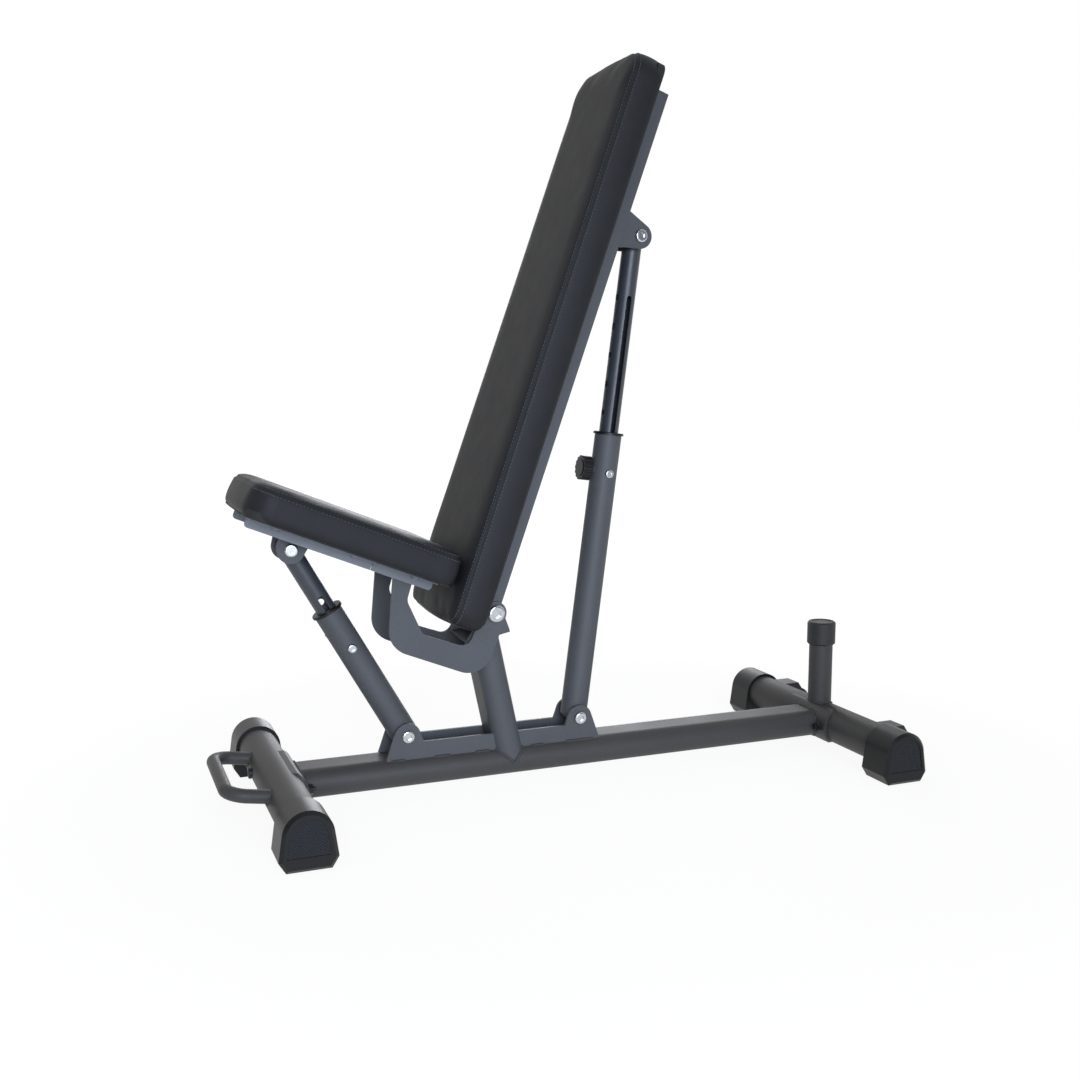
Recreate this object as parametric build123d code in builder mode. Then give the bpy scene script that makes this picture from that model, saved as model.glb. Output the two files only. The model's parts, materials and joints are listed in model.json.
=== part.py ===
"""Adjustable weight bench: a steel base on two cross tubes, with a seat and a back that tilt on
one pivot and are propped by telescopic struts with pull pins.  Millimetres, +X to the rear,
+Y to the sitter's right, +Z up, origin on the floor under the middle of the bench."""
import os
from math import acos, atan2, cos, hypot, radians, sin

from build123d import *

os.makedirs("parts", exist_ok=True)

# Base frame
tube_spacing = 1176.0
foot_width = 606.0
tube_d = 76.0
tube_wall = 3.0
tube_z = 58.0
beam_width = 100.0
beam_height = 55.0
beam_drop = 2.5
beam_wall = 3.0
saddle_thickness = 5.0
saddle_width = 168.0
saddle_sweep = 112.0
saddle_corner = 14.0
saddle_bolt_spacing = 134.0
saddle_bolt_d = 10.0
saddle_bolt_tail = 14.0

# Foot caps
cap_length = 77.0
cap_end_wall = 12.0
cap_top_r = 44.0
cap_sole = 76.0
cap_corner_width = 100.0
cap_corner_z = 19.0
cap_bevel = 6.0
cap_panel_margin = 12.0
cap_panel_bottom = 25.0
cap_panel_depth = 1.5
cap_fit = 0.2

# Carry handle at the front
handle_d = 25.0
handle_wall = 2.5
handle_reach = 117.0
handle_half_span = 117.0
handle_bend_r = 36.0
handle_low_z = 66.0
handle_high_z = 82.0

# Rubber-capped stop under the flat back
stop_d = 50.0
stop_wall = 3.0
stop_cap_d = 60.0
stop_cap_height = 50.0
stop_cap_top = 6.0
stop_dish_rim = 4.0
stop_dish = 1.2
stop_cap_bevel = 3.0
stop_cap_fit = 0.2
stop_drop = 6.0

# Upright post and its pivot head
post_width = 100.0
post_depth = 55.0
post_wall = 3.0
post_foot_x = 442.0
post_lean = 11.8
post_length = 229.0
head_plate = 6.0
head_length = 86.0
cheek_thickness = 6.0
cheek_r = 18.0
pivot_rise = 40.4
pivot_setback = 18.7
pivot_tube_d = 36.0
pivot_bolt_d = 16.0

# Strut plates on the beam
strut_gap = 55.0
plate_thickness = 6.0
plate_height = 30.0
plate_sink = 4.0
ear_r = 25.0
ear_foot = 86.0
strut_pivot_rise = 43.0
seat_strut_x = 240.0
back_strut_x = 592.0
strut_bolt_d = 12.0

# Transport wheels
wheel_d = 56.0
wheel_width = 34.0
wheel_offset = 66.5
wheel_z = 45.0
wheel_inboard = 110.0
wheel_axle_d = 10.0
bracket_thickness = 4.0
wheel_side_gap = 1.0
bracket_top = 31.0
bracket_brow = 8.0
bracket_nose = 12.0
bracket_shoulder = 14.0
bracket_under = 16.0
bracket_root = 8.0
tread_round = 6.0
wheel_rim = 9.0
wheel_hub = 5.0
wheel_dish = 5.0

# Seat and back settings as shown, above level
seat_angle = 22.0
back_angle = 70.3

# Stack of plates on the main pivot
side_gap = 0.4
running_gap = 0.08
back_rail_thickness = 6.0
hook_thickness = 6.0

# Seat frame, in its own frame: forward and up from the main pivot
seat_under = 20.0
seat_rail_depth = 20.0
seat_rail_wall = 4.0
seat_rail_flange = 28.0
seat_rail_rear = 138.0
seat_rail_joint = 258.0
seat_rail_front = 497.0
seat_screw_inset = 40.0
seat_screw_end = 50.0
seat_rail_slit = 1.6
seat_rail_corner = 7.0
seat_bridge = 6.0
seat_bridge_length = 84.0
seat_pivot_ahead = 396.4
seat_pivot_below = 14.7
seat_ear_foot = 60.0

# Hook plates that carry the seat round the lower end of the back pad
hook_eye_r = 22.0
hook_arm_front = 218.0
hook_arm_width = 42.0
hook_setback = 44.0
hook_bottom = 125.0
hook_band = 46.0
hook_gusset = 50.0
hook_root = 6.0
hook_slope = 2.0
hook_crook = 4.0
hook_heel = 24.0
hook_outer_r = 48.0
hook_inner_r = 20.0

# Back frame, in its own frame: up the back and forward from the main pivot
back_under = 42.0
back_rail_depth = 50.0
back_rail_top = 1030.0
back_rail_tail = 16.0
back_eye_r = 19.0
back_flange = 25.0
back_flange_wall = 5.0
back_rail_corner = 12.0
back_flange_start = 34.0
back_screw_inset = 40.0
back_bridge = 6.0
back_bridge_length = 90.0
back_pivot_along = 772.0
back_pivot_behind = 55.5
back_ear_r = 24.0
back_ear_foot = 78.0
lower_bridge_at = 120.0
upper_bridge_at = 975.0
rail_bridge_length = 50.0

# Pads: a board, foam and a vinyl cover
board_thickness = 15.0
board_fit = 0.3
pad_wrap = 5.0
pad_height = 66.0
pad_seam = 54.0
pad_wrap_inset = 4.0
pad_foot_inset = 0.6
seam_band = 2.5
seam_edge_inset = 0.8
seam_inset = 2.4
seam_step = 0.2
pad_brow_drop = 5.5
pad_brow_inset = 8.0
pad_rise = 2.0
pad_rise_inset = 18.0
corner_share = 0.6
pad_corner = 30.0
pad_bow = 7.0
pad_pull = 2.0
pad_crown_inset = 46.0
seat_pad_rear = 112.0
seat_pad_length = 408.0
seat_pad_width = 300.0
back_pad_tail = 40.0
back_pad_length = 1104.0
back_pad_width = 302.0
back_pad_top_width = 282.0
pad_screw_d = 8.0
pad_screw_depth = 10.0

# Telescopic struts
sleeve_d = 53.0
sleeve_wall = 3.0
inner_d = 38.0
inner_wall = 3.0
eye_d = 38.0
eye_gap = 0.5
open_eye_slack = 4.0
back_sleeve_length = 562.0
seat_sleeve_length = 281.0
back_overlap = 150.0
seat_overlap = 118.0
collar_d = 60.0
collar_lip = 5.0
collar_depth = 36.0
slide_gap = 0.15
stop_screw_d = 8.0
slot_width = 10.0
back_stop_below = 76.0
seat_stop_below = 78.0
back_pin_below = 70.0
seat_pin_below = 52.0
pin_d = 11.0
pin_gap = 0.1
pin_clear = 0.6
pin_bevel = 1.2
pin_hole_slack = 0.8
barrel_d = 20.0
barrel_length = 12.0
knob_d = 48.0
knob_length = 20.0
knob_lift = 5.5
knob_crown = 5.0
knob_dome = 1.5
knob_shoulder = 2.0
knob_bore_gap = 1.0
flute_offset = 0.35
knob_flutes = 14
knob_flute_r = 3.2
back_settings = 7
seat_settings = 4

# Bolt heads and nuts
head_ratio = 2.1
head_height_ratio = 0.62
nut_ratio = 1.7
nut_height_ratio = 0.9
socket_ratio = 0.55

# Places that follow from the sizes above
wheel_reach = wheel_offset + wheel_d / 2
wheel_y = foot_width / 2 - wheel_inboard
front_x = (handle_reach - tube_spacing - wheel_reach) / 2
rear_x = front_x + tube_spacing
tube_r = tube_d / 2
saddle_r = tube_r + saddle_thickness
beam_z = tube_z - beam_drop
beam_top = beam_z + beam_height / 2
half_width = foot_width / 2
cap_inner_y = half_width - cap_length
tube_half = half_width - cap_end_wall
post_up = Vector(-sin(radians(post_lean)), 0, cos(radians(post_lean)))
post_foot = Vector(front_x + post_foot_x, 0, beam_top)
post_plane = Plane(post_foot, x_dir=(0, 1, 0), z_dir=post_up)
pivot = post_plane.from_local_coords((0, -pivot_setback, post_length + head_plate + pivot_rise))
cheek_y = post_width / 2
back_rail_y = cheek_y + cheek_thickness + side_gap
hook_y = back_rail_y + back_rail_thickness + side_gap
seat_rail_y = hook_y + hook_thickness
strut_z = beam_top + strut_pivot_rise
seat_strut_base = Vector(front_x + seat_strut_x, 0, strut_z)
back_strut_base = Vector(front_x + back_strut_x, 0, strut_z)
ear_y = strut_gap / 2
ear_outer_y = ear_y + plate_thickness


def side_plane(x, z, y=0.0):
    """Upright plane along the bench at y, with X to the right, Z up and its normal towards -Y."""
    return Plane((x, y, z), x_dir=(1, 0, 0), z_dir=(0, -1, 0))


def seat_plane(y=0.0, angle=seat_angle):
    """Side plane of the seat at y: x forward along the seat, y up from it, normal towards +Y."""
    a = radians(angle)
    return Plane((pivot.X, y, pivot.Z), x_dir=(-cos(a), 0, sin(a)), z_dir=(0, 1, 0))


def back_plane(y=0.0, angle=back_angle):
    """Side plane of the back at y: x up the back, y towards the sitter, normal towards -Y."""
    a = radians(angle)
    return Plane((pivot.X, y, pivot.Z), x_dir=(cos(a), 0, sin(a)), z_dir=(0, -1, 0))


seat_strut_top = seat_plane().from_local_coords((seat_pivot_ahead, -seat_pivot_below, 0))
back_strut_top = back_plane().from_local_coords((back_pivot_along, -back_pivot_behind, 0))
seat_strut_level = seat_plane(angle=0).from_local_coords((seat_pivot_ahead, -seat_pivot_below, 0))
back_strut_level = back_plane(angle=0).from_local_coords((back_pivot_along, -back_pivot_behind, 0))
stop_top_z = back_strut_level.Z - back_ear_r - stop_drop


def save(builder, name):
    """Label a finished piece and write its file."""
    builder.part.label = name
    export_step(builder.part, "parts/" + name + ".step")


def save_pair(builder, name, right_first=False):
    """Write a piece and its mirror image across the bench as its left and right nodes."""
    with BuildPart() as other:
        mirror(builder.part, about=Plane.XZ)
    save(builder, name + ("_right" if right_first else "_left"))
    save(other, name + ("_left" if right_first else "_right"))


def tangent_point(centre, radius, corner, turn):
    """Point where a straight edge from corner touches a circle, on its left (1) or right (-1)."""
    dx = corner[0] - centre[0]
    dy = corner[1] - centre[1]
    angle = atan2(dy, dx) + turn * acos(radius / hypot(dx, dy))
    return (centre[0] + radius * cos(angle), centre[1] + radius * sin(angle))


def ear_face(radius, foot, drop, centre=(0.0, 0.0)):
    """Ear outline: a round nose on the pivot, with straight flanks down to a wider foot."""
    left = (centre[0] - foot / 2, centre[1] - drop)
    right = (centre[0] + foot / 2, centre[1] - drop)
    right_touch = tangent_point(centre, radius, right, 1)
    left_touch = tangent_point(centre, radius, left, -1)
    with BuildSketch() as face:
        with BuildLine():
            Line(left, right)
            Line(right, right_touch)
            ThreePointArc(right_touch, (centre[0], centre[1] + radius), left_touch)
            Line(left_touch, left)
        make_face()
    return face.sketch


def bolt(start, shank_d, length, direction, nut_at=None):
    """Socket button-head bolt whose head seats at start, with an optional lock nut on its far end.
    The head is a dome with a recess, and the nut is a hexagon with a domed collar."""
    head_d = shank_d * head_ratio
    head_h = shank_d * head_height_ratio
    nut_h = shank_d * nut_height_ratio
    axis = Plane(start, z_dir=direction)
    with BuildPart() as fastener:
        with BuildSketch(axis):
            Circle(head_d / 2)
        extrude(amount=-head_h)
        rim = fastener.edges().filter_by(GeomType.CIRCLE).sort_by(Axis(start, direction))[0]
        fillet(rim, head_h * 0.5)
        with BuildSketch(axis.offset(-head_h)):
            RegularPolygon(shank_d * socket_ratio, 6)
        extrude(amount=head_h * 0.5, mode=Mode.SUBTRACT)
        with BuildSketch(axis):
            Circle(shank_d / 2)
        extrude(amount=length)
        if nut_at is not None:
            with BuildSketch(axis.offset(nut_at)):
                RegularPolygon(shank_d * nut_ratio / 2, 6, major_radius=False)
            extrude(amount=nut_h)
    return fastener.part


# Cross tubes, drilled for the saddle bolts
for end, x in (("front", front_x), ("rear", rear_x)):
    with BuildPart() as cross_tube:
        with BuildSketch(side_plane(x, tube_z, tube_half)):
            Circle(tube_r)
            Circle(tube_r - tube_wall, mode=Mode.SUBTRACT)
        extrude(amount=2 * tube_half)
        with BuildSketch(Plane((x - tube_d, 0, tube_z), x_dir=(0, 1, 0), z_dir=(1, 0, 0))):
            with GridLocations(saddle_bolt_spacing, 0, 2, 1):
                Circle(saddle_bolt_d / 2)
        extrude(amount=2 * tube_d, mode=Mode.SUBTRACT)
    save(cross_tube, end + "_cross_tube")

# Moulded foot caps: flat sole, flared cheeks, round crown, bevelled end with a sunk panel
cap_touch = tangent_point((0, tube_z), cap_top_r, (cap_corner_width / 2, cap_corner_z), 1)


def cap_face():
    """End outline of a foot cap, with the floor at y = 0."""
    with BuildSketch() as face:
        with BuildLine():
            Polyline((-cap_touch[0], cap_touch[1]), (-cap_corner_width / 2, cap_corner_z), (-cap_sole / 2, 0),
                     (cap_sole / 2, 0), (cap_corner_width / 2, cap_corner_z), cap_touch)
            ThreePointArc(cap_touch, (0, tube_z + cap_top_r), (-cap_touch[0], cap_touch[1]))
        make_face()
    return face.sketch


for end, x in (("front", front_x), ("rear", rear_x)):
    with BuildPart() as foot_cap:
        with BuildSketch(side_plane(x, 0, -cap_inner_y)):
            add(cap_face())
        extrude(amount=cap_length)
        end_face = foot_cap.faces().sort_by(Axis.Y)[0]
        chamfer(end_face.edges(), cap_bevel)
        with BuildSketch(side_plane(x, 0, -half_width)):
            add(cap_face())
            offset(amount=-cap_panel_margin, kind=Kind.INTERSECTION, mode=Mode.REPLACE)
            with Locations((0, cap_panel_bottom)):
                Rectangle(cap_corner_width, cap_panel_bottom + tube_z, align=(Align.CENTER, Align.MAX),
                          mode=Mode.SUBTRACT)
        extrude(amount=-cap_panel_depth, mode=Mode.SUBTRACT)
        with BuildSketch(side_plane(x, tube_z, -cap_inner_y)):
            Circle(tube_r + cap_fit)
        extrude(amount=cap_length - cap_end_wall, mode=Mode.SUBTRACT)
    save_pair(foot_cap, end + "_foot_cap")

# Beam of flat-oval tube, coped to the saddle plates at both ends
beam_plane = Plane((front_x, 0, beam_z), x_dir=(0, 1, 0), z_dir=(1, 0, 0))
with BuildPart() as beam_envelope:
    with BuildSketch(beam_plane):
        SlotOverall(beam_width, beam_height)
    extrude(amount=tube_spacing)
with BuildPart() as main_beam:
    add(beam_envelope.part)
    with BuildSketch(beam_plane):
        SlotOverall(beam_width - 2 * beam_wall, beam_height - 2 * beam_wall)
    extrude(amount=tube_spacing, mode=Mode.SUBTRACT)
    for x in (front_x, rear_x):
        with BuildSketch(side_plane(x, tube_z, half_width)):
            Circle(saddle_r)
        extrude(amount=foot_width, mode=Mode.SUBTRACT)
save(main_beam, "main_beam")

# Saddle plates rolled to the cross tubes, with clipped corners and bolt holes
for end, x, facing in (("front", front_x, 1), ("rear", rear_x, -1)):
    half_sweep = radians(saddle_sweep / 2)
    with BuildPart() as saddle:
        with BuildSketch(side_plane(x, tube_z, saddle_width / 2)):
            Circle(saddle_r)
            Circle(tube_r, mode=Mode.SUBTRACT)
        extrude(amount=saddle_width)
        outline_plane = Plane((x, 0, tube_z), x_dir=(0, 1, 0), z_dir=(facing, 0, 0))
        with BuildSketch(outline_plane):
            RectangleRounded(saddle_width, 2 * saddle_r * sin(half_sweep), saddle_corner)
            with GridLocations(saddle_bolt_spacing, 0, 2, 1):
                Circle(saddle_bolt_d / 2, mode=Mode.SUBTRACT)
        extrude(amount=2 * tube_d, mode=Mode.INTERSECT)
    save(saddle, end + "_saddle_plate")

# Saddle bolts through the cross tubes, with nuts on the beam side
with BuildPart() as saddle_bolts:
    for x, facing in ((front_x, 1), (rear_x, -1)):
        for y in (-saddle_bolt_spacing / 2, saddle_bolt_spacing / 2):
            reach = saddle_r + tube_r
            add(bolt((x - facing * tube_r, y, tube_z), saddle_bolt_d, reach + saddle_bolt_tail,
                     (facing, 0, 0), reach))
save(saddle_bolts, "saddle_bolts")

# Carry handle: one bent tube, rising forward from the front cross tube
handle_front = front_x - handle_reach + handle_d / 2
handle_path_points = [
    (front_x, -handle_half_span, handle_low_z),
    (handle_front, -handle_half_span, handle_high_z),
    (handle_front, handle_half_span, handle_high_z),
    (front_x, handle_half_span, handle_low_z),
]
with BuildPart() as carry_handle:
    with BuildLine() as handle_path:
        FilletPolyline(*handle_path_points, radius=handle_bend_r)
    with BuildSketch(Plane(handle_path.line @ 0, z_dir=handle_path.line % 0)):
        Circle(handle_d / 2)
        Circle(handle_d / 2 - handle_wall, mode=Mode.SUBTRACT)
    sweep()
    with BuildSketch(side_plane(front_x, tube_z, half_width)):
        Circle(tube_r)
    extrude(amount=foot_width, mode=Mode.SUBTRACT)
save(carry_handle, "carry_handle")

# Stop post, coped to the rear cross tube, and its rubber cap
with BuildPart() as stop_post:
    with BuildSketch(Plane((rear_x, 0, tube_z))):
        Circle(stop_d / 2)
        Circle(stop_d / 2 - stop_wall, mode=Mode.SUBTRACT)
    extrude(amount=stop_top_z - stop_cap_top - tube_z)
    add(saddle.part, mode=Mode.SUBTRACT)
    with BuildSketch(side_plane(rear_x, tube_z, half_width)):
        Circle(tube_r)
    extrude(amount=foot_width, mode=Mode.SUBTRACT)
save(stop_post, "stop_post")

with BuildPart() as stop_post_cap:
    with BuildSketch(Plane((rear_x, 0, stop_top_z - stop_cap_height))):
        Circle(stop_cap_d / 2)
    extrude(amount=stop_cap_height)
    chamfer(stop_post_cap.edges().filter_by(GeomType.CIRCLE), stop_cap_bevel)
    with BuildSketch(Plane((rear_x, 0, stop_top_z - stop_cap_height))):
        Circle(stop_d / 2 + stop_cap_fit)
    extrude(amount=stop_cap_height - stop_cap_top, mode=Mode.SUBTRACT)
    with BuildSketch(Plane((rear_x, 0, stop_top_z))):
        Circle(stop_d / 2 - stop_dish_rim)
    extrude(amount=-stop_dish, mode=Mode.SUBTRACT)
save(stop_post_cap, "stop_post_cap")

# Upright post of flat-oval tube, leaning forward and coped over the beam
with BuildPart() as post_envelope:
    with BuildSketch(post_plane.offset(-beam_height)):
        SlotOverall(post_width, post_depth)
    extrude(amount=beam_height + post_length)
with BuildPart() as upright_post:
    add(post_envelope.part)
    with BuildSketch(post_plane.offset(-beam_height)):
        SlotOverall(post_width - 2 * post_wall, post_depth - 2 * post_wall)
    extrude(amount=beam_height + post_length, mode=Mode.SUBTRACT)
    with BuildSketch(beam_plane):
        SlotOverall(beam_width, beam_height)
        with Locations((0, -beam_height)):
            Rectangle(2 * beam_width, 2 * beam_height)
    extrude(amount=tube_spacing, mode=Mode.SUBTRACT)
save(upright_post, "upright_post")

# Post head: a cap plate, two cheeks drawn to the pivot and a cross tube for the pivot bolt
head_base = post_plane.from_local_coords((0, 0, post_length))
head_side = Plane(head_base, x_dir=-post_plane.y_dir, z_dir=(0, -1, 0))
head_pivot = (pivot_setback, head_plate + pivot_rise)
head_half_y = cheek_y + cheek_thickness
with BuildPart() as post_head:
    with BuildSketch(Plane(head_side.origin, x_dir=head_side.x_dir, z_dir=post_up)):
        Rectangle(head_length, 2 * head_half_y)
    extrude(amount=head_plate)
    for y in (head_half_y - cheek_thickness, -head_half_y):
        front_foot = (-head_length / 2, head_plate)
        rear_foot = (head_length / 2, head_plate)
        rear_touch = tangent_point(head_pivot, cheek_r, rear_foot, 1)
        front_touch = tangent_point(head_pivot, cheek_r, front_foot, -1)
        with BuildSketch(head_side.offset(y)):
            with BuildLine():
                Line(front_foot, rear_foot)
                Line(rear_foot, rear_touch)
                ThreePointArc(rear_touch, (head_pivot[0], head_pivot[1] + cheek_r), front_touch)
                Line(front_touch, front_foot)
            make_face()
        extrude(amount=cheek_thickness)
    with BuildSketch(side_plane(pivot.X, pivot.Z, cheek_y)):
        Circle(pivot_tube_d / 2)
    extrude(amount=2 * cheek_y)
    with BuildSketch(side_plane(pivot.X, pivot.Z, head_half_y)):
        Circle(pivot_bolt_d / 2)
    extrude(amount=2 * head_half_y, mode=Mode.SUBTRACT)
save(post_head, "post_head")

# Main pivot bolt through the post head, the back rails and the hook plates
pivot_head_y = seat_rail_y + side_gap
with BuildPart() as main_pivot_bolt:
    add(bolt((pivot.X, -pivot_head_y, pivot.Z), pivot_bolt_d,
             2 * pivot_head_y + pivot_bolt_d * nut_height_ratio, (0, 1, 0), 2 * pivot_head_y))
save(main_pivot_bolt, "main_pivot_bolt")

# Strut plates: four plates welded on the beam and against the post, each with an ear
for end, base in (("front", seat_strut_base), ("rear", back_strut_base)):
    with BuildPart() as strut_plate:
        with BuildSketch(side_plane(base.X, base.Z, -ear_y)):
            add(ear_face(ear_r, ear_foot, strut_pivot_rise + plate_sink))
            with Locations((0, -strut_pivot_rise - plate_sink)):
                Rectangle(abs(post_foot.X - base.X), plate_height + plate_sink,
                          align=(Align.MIN if end == "front" else Align.MAX, Align.MIN))
            Circle(strut_bolt_d / 2, mode=Mode.SUBTRACT)
        extrude(amount=plate_thickness)
        add(post_envelope.part, mode=Mode.SUBTRACT)
        add(beam_envelope.part, mode=Mode.SUBTRACT)
    save_pair(strut_plate, end + "_strut_plate")

with BuildPart() as strut_base_bolts:
    for base in (seat_strut_base, back_strut_base):
        add(bolt((base.X, -ear_outer_y, base.Z), strut_bolt_d,
                 2 * ear_outer_y + strut_bolt_d * nut_height_ratio, (0, 1, 0), 2 * ear_outer_y))
save(strut_base_bolts, "strut_base_bolts")

# Transport wheels in forked brackets behind the rear cross tube
wheel_x = rear_x + wheel_offset
axle_rise = wheel_z - tube_z
bracket_gap = wheel_width + 2 * wheel_side_gap
bracket_outer = bracket_gap / 2 + bracket_thickness
with BuildPart() as wheel_bracket:
    with BuildSketch(side_plane(rear_x, tube_z, -wheel_y + bracket_outer)):
        with BuildLine():
            Polyline((0, bracket_top), (wheel_offset - bracket_brow, bracket_top),
                     (wheel_offset + bracket_nose, axle_rise + bracket_shoulder),
                     (wheel_offset + bracket_nose, axle_rise - bracket_nose),
                     (wheel_offset - bracket_shoulder, axle_rise - bracket_under),
                     (0, bracket_root - tube_r), (0, bracket_top))
        make_face()
    extrude(amount=2 * bracket_outer)
    with BuildSketch(side_plane(rear_x, tube_z, -wheel_y + bracket_gap / 2)):
        with Locations((0, bracket_top - bracket_thickness)):
            Rectangle(4 * wheel_offset, 4 * tube_d, align=(Align.CENTER, Align.MAX))
    extrude(amount=bracket_gap, mode=Mode.SUBTRACT)
    with BuildSketch(side_plane(wheel_x, wheel_z, 0)):
        Circle(wheel_axle_d / 2)
    extrude(amount=foot_width, mode=Mode.SUBTRACT)
    with BuildSketch(side_plane(rear_x, tube_z, half_width)):
        Circle(tube_r)
    extrude(amount=foot_width, mode=Mode.SUBTRACT)
save_pair(wheel_bracket, "wheel_bracket")

with BuildPart() as wheel:
    with BuildSketch(side_plane(wheel_x, wheel_z, -wheel_y + wheel_width / 2)):
        Circle(wheel_d / 2)
    extrude(amount=wheel_width)
    tread_edges = wheel.edges().filter_by(GeomType.CIRCLE)
    fillet(tread_edges, tread_round)
    for y, depth in ((-wheel_y + wheel_width / 2, 1), (-wheel_y - wheel_width / 2, -1)):
        with BuildSketch(side_plane(wheel_x, wheel_z, y)):
            Circle(wheel_d / 2 - wheel_rim)
            Circle(wheel_axle_d / 2 + wheel_hub, mode=Mode.SUBTRACT)
        extrude(amount=depth * wheel_dish, mode=Mode.SUBTRACT)
    with BuildSketch(side_plane(wheel_x, wheel_z, 0)):
        Circle(wheel_axle_d / 2 + running_gap)
    extrude(amount=foot_width, mode=Mode.SUBTRACT)
save_pair(wheel, "transport_wheel")

with BuildPart() as wheel_axles:
    for y, direction in ((-wheel_y - bracket_outer, 1), (wheel_y + bracket_outer, -1)):
        add(bolt((wheel_x, y, wheel_z), wheel_axle_d,
                 2 * bracket_outer + wheel_axle_d * nut_height_ratio, (0, direction, 0), 2 * bracket_outer))
save(wheel_axles, "wheel_axles")


# Pads on boards, for the seat and the back
def pad_outline(length, rear_width, front_width, inset):
    """Pad seen from above: bowed ends, long sides drawn in between round corners, all set in by inset."""
    tip = length / 2 - inset
    end = tip - pad_bow
    low = rear_width / 2 - inset
    high = front_width / 2 - inset
    middle = (low + high) / 2 - pad_pull
    with BuildSketch() as face:
        with BuildLine():
            ThreePointArc((-end, -low), (0, -middle), (end, -high))
            ThreePointArc((end, -high), (tip, 0), (end, high))
            ThreePointArc((end, high), (0, middle), (-end, low))
            ThreePointArc((-end, low), (-tip, 0), (-end, -low))
        make_face()
        fillet(face.vertices(), pad_corner - inset * corner_share)
    return face.sketch


pad_sections = [
    (0.0, pad_wrap_inset),
    (pad_wrap, pad_foot_inset),
    (pad_seam / 2, 0.0),
    (pad_seam - seam_band, seam_edge_inset),
    (pad_seam, seam_inset),
    (pad_seam + seam_band, seam_inset - seam_step),
    (pad_height - pad_brow_drop, pad_brow_inset),
    (pad_height - pad_rise, pad_rise_inset),
    (pad_height, pad_crown_inset),
]


def make_pad(name, plane, length, rear_width, front_width, screw_spots):
    """Cushion with a crowned face, a drawn-in seam and a pocket underneath for its board."""
    with BuildPart() as pad:
        for height, inset in pad_sections:
            with BuildSketch(plane.offset(height)):
                add(pad_outline(length, rear_width, front_width, inset))
        loft(ruled=True)
        with BuildSketch(plane):
            add(pad_outline(length, rear_width, front_width, pad_wrap))
        extrude(amount=board_thickness, mode=Mode.SUBTRACT)
    save(pad, name + "_pad")
    with BuildPart() as board:
        with BuildSketch(plane):
            add(pad_outline(length, rear_width, front_width, pad_wrap + board_fit))
        extrude(amount=board_thickness)
        with BuildSketch(plane):
            with Locations(*screw_spots):
                Circle(pad_screw_d / 2)
        extrude(amount=pad_screw_depth, mode=Mode.SUBTRACT)
    save(board, name + "_board")


def make_screws(name, plane, screw_spots, grip):
    """Pan-head screws up through the rail flanges into the board."""
    with BuildPart() as screws:
        with BuildSketch(plane.offset(-grip)):
            with Locations(*screw_spots):
                Circle(pad_screw_d / 2)
        extrude(amount=grip + pad_screw_depth)
        with BuildSketch(plane.offset(-grip)):
            with Locations(*screw_spots):
                Circle(pad_screw_d)
        extrude(amount=-pad_screw_d / 2, taper=20)
    save(screws, name + "_pad_screws")


# Seat: pad and board, rails in two lengths, hook plates and the strut bracket
seat_pad_mid = seat_pad_rear + seat_pad_length / 2
seat_side = seat_plane()
seat_pad_plane = Plane(seat_side.from_local_coords((seat_pad_mid, seat_under, 0)), x_dir=seat_side.x_dir,
                       z_dir=seat_side.y_dir)
seat_flange_y = seat_rail_y + seat_rail_wall + seat_rail_flange / 2
seat_screw_spots = [(ahead - seat_pad_mid, y)
                    for ahead in (seat_rail_rear + seat_screw_inset, seat_rail_joint + seat_screw_inset,
                                  seat_rail_front - seat_screw_end)
                    for y in (-seat_flange_y, seat_flange_y)]
make_pad("seat", seat_pad_plane, seat_pad_length, seat_pad_width, seat_pad_width, seat_screw_spots)
make_screws("seat", seat_pad_plane, seat_screw_spots, seat_rail_wall)

for name, rear, front, open_end in (
    ("rear", seat_rail_rear, seat_rail_joint - seat_rail_slit / 2, seat_rail_rear),
    ("front", seat_rail_joint + seat_rail_slit / 2, seat_rail_front, seat_rail_front),
):
    with BuildPart() as seat_rail:
        with BuildSketch(seat_plane(seat_rail_y)) as web_outline:
            with Locations((rear, seat_under)):
                Rectangle(front - rear, seat_rail_depth, align=(Align.MIN, Align.MAX))
            open_corner = Vector(open_end, seat_under - seat_rail_depth)
            fillet(web_outline.vertices().sort_by_distance(open_corner)[0], seat_rail_corner)
        extrude(amount=seat_rail_wall)
        with BuildSketch(seat_plane(seat_rail_y + seat_rail_wall)):
            with Locations((rear, seat_under)):
                Rectangle(front - rear, seat_rail_wall, align=(Align.MIN, Align.MAX))
        extrude(amount=seat_rail_flange)
        with BuildSketch(seat_pad_plane):
            with Locations(*seat_screw_spots):
                Circle(pad_screw_d / 2)
        extrude(amount=-seat_rail_depth, mode=Mode.SUBTRACT)
    save_pair(seat_rail, "seat_" + name + "_rail", right_first=True)

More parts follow.
